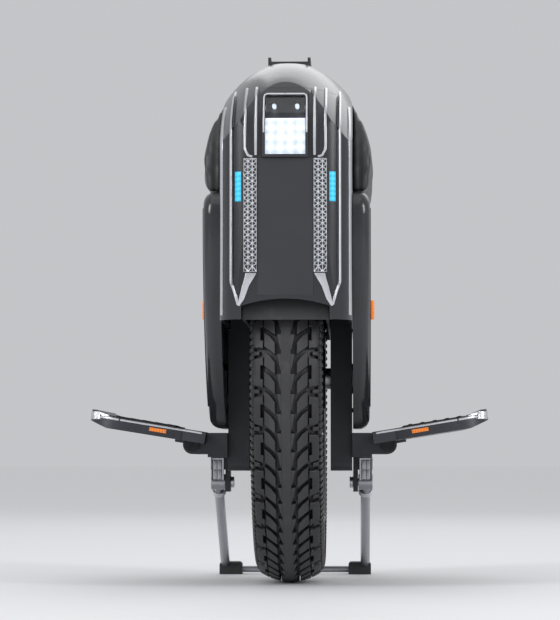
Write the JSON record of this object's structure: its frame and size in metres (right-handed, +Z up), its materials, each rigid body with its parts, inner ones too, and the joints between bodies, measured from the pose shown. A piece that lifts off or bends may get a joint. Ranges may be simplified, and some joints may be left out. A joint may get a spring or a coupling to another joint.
{
  "type": "electric unicycle",
  "caption": "Electric unicycle with a hub-motor wheel, domed shell, headlight, folding pedals, carry handle and fold-down parking stand.",
  "frame": {"origin": "on the floor, under the middle of the axle and in the middle of the overall box", "axes": "+X to the right seen from the front, +Y towards the rear, +Z up"},
  "size_m": [0.4362, 0.51, 0.583],
  "materials": {
    "tyre_rubber": "matt black tread rubber",
    "tube_rubber": "soft black rubber",
    "cast_alloy": "dark powder-coated casting",
    "rim_alloy": "dark anodised rim",
    "motor_steel": "laminated electrical steel",
    "bare_steel": "bright steel",
    "dark_steel": "black oxide screws",
    "gloss_shell": "gloss black moulding",
    "satin_shell": "satin black moulding",
    "inner_plastic": "grained black liner",
    "pad_foam": "moulded foam skin",
    "grille_metal": "knurled silver",
    "lens_clear": "clear lens",
    "lamp_white": "lit white lamp block",
    "lamp_cyan": "cyan light bar",
    "lamp_red": "red tail lens",
    "lamp_amber": "amber marker",
    "pack_case": "wrapped battery case",
    "board_green": "circuit board",
    "pedal_alloy": "dark anodised pedal",
    "grip_sheet": "gritted grip sheet",
    "stand_steel": "brushed steel tube",
    "foot_rubber": "hard rubber foot"
  },
  "bodies": {
    "chassis": {"axle": "bare_steel", "axle_nuts": "bare_steel", "battery_rear_pack": "pack_case", "battery_side_packs": "pack_case", "carry_handle": "satin_shell", "charge_port": "bare_steel", "controller_board": "board_green", "front_fairing": "gloss_shell", "front_panel": "satin_shell", "grille_strips": "grille_metal", "hanger_bolts": "dark_steel", "hanger_left": "cast_alloy", "hanger_right": "cast_alloy", "headlight_diodes": "lamp_white", "headlight_housing": "satin_shell", "headlight_lamp": "lamp_white", "headlight_lens": "lens_clear", "heat_sink": "rim_alloy", "inner_frame": "inner_plastic", "light_bars": "lamp_cyan", "panel_screws": "dark_steel", "pedal_bracket_left": "cast_alloy", "pedal_bracket_right": "cast_alloy", "pedal_pins": "bare_steel", "rear_fairing": "gloss_shell", "side_markers": "lamp_amber", "side_pad_left": "pad_foam", "side_pad_right": "pad_foam", "side_panel_left": "gloss_shell", "side_panel_right": "gloss_shell", "stand_brackets": "cast_alloy", "stand_pins": "bare_steel", "stator_core": "motor_steel", "stator_hub": "rim_alloy", "tail_light": "lamp_red", "top_cap": "gloss_shell"},
    "wheel": {"tyre": "tyre_rubber", "inner_tube": "tube_rubber", "valve_stem": "bare_steel", "rim": "rim_alloy", "rotor_ring": "motor_steel", "magnets": "motor_steel", "motor_cover_right": "cast_alloy", "motor_cover_left": "cast_alloy", "cover_bolts": "bare_steel", "bearings": "bare_steel"},
    "pedal_right": {"pedal_right": "pedal_alloy", "pedal_grip_right": "grip_sheet", "pedal_markers_right": "lamp_amber"},
    "pedal_left": {"pedal_left": "pedal_alloy", "pedal_grip_left": "grip_sheet", "pedal_markers_left": "lamp_amber"},
    "stand": {"stand_leg_right": "stand_steel", "stand_leg_left": "stand_steel", "stand_collars": "bare_steel", "stand_feet": "foot_rubber", "stand_bar": "stand_steel"},
    "power_button": {"power_button": "satin_shell"},
    "lift_button": {"lift_button": "satin_shell"},
    "charge_cap": {"charge_cap": "foot_rubber"}
  },
  "joints": [
    {"name": "wheel_spin", "type": "hinge", "parent": "chassis", "child": "wheel", "pos_m": [0, 0, 0.2286], "axis": [1, 0, 0], "continuous": true},
    {"name": "pedal_right_fold", "type": "hinge", "parent": "chassis", "child": "pedal_right", "pos_m": [0.108, 0, 0.154], "axis": [0, -1, 0], "range_deg": [0, 72]},
    {"name": "pedal_left_fold", "type": "hinge", "parent": "chassis", "child": "pedal_left", "pos_m": [-0.108, 0, 0.154], "axis": [0, 1, 0], "range_deg": [0, 72]},
    {"name": "stand_swing", "type": "hinge", "parent": "chassis", "child": "stand", "pos_m": [0, 0.04, 0.112], "axis": [1, 0, 0], "range_deg": [0, 45]},
    {"name": "power_press", "type": "slide", "parent": "chassis", "child": "power_button", "axis": [0, 0, -1], "range_m": [0, 0.0015], "stiffness_N_per_m": 600, "springref_m": -0.001},
    {"name": "lift_press", "type": "slide", "parent": "chassis", "child": "lift_button", "axis": [0, 0, 1], "range_m": [0, 0.0015], "stiffness_N_per_m": 600, "springref_m": -0.001},
    {"name": "charge_cap_swing", "type": "hinge", "parent": "chassis", "child": "charge_cap", "pos_m": [0, 0.25365, 0.496], "axis": [1, 0, 0], "range_deg": [0, 110]}
  ]
}
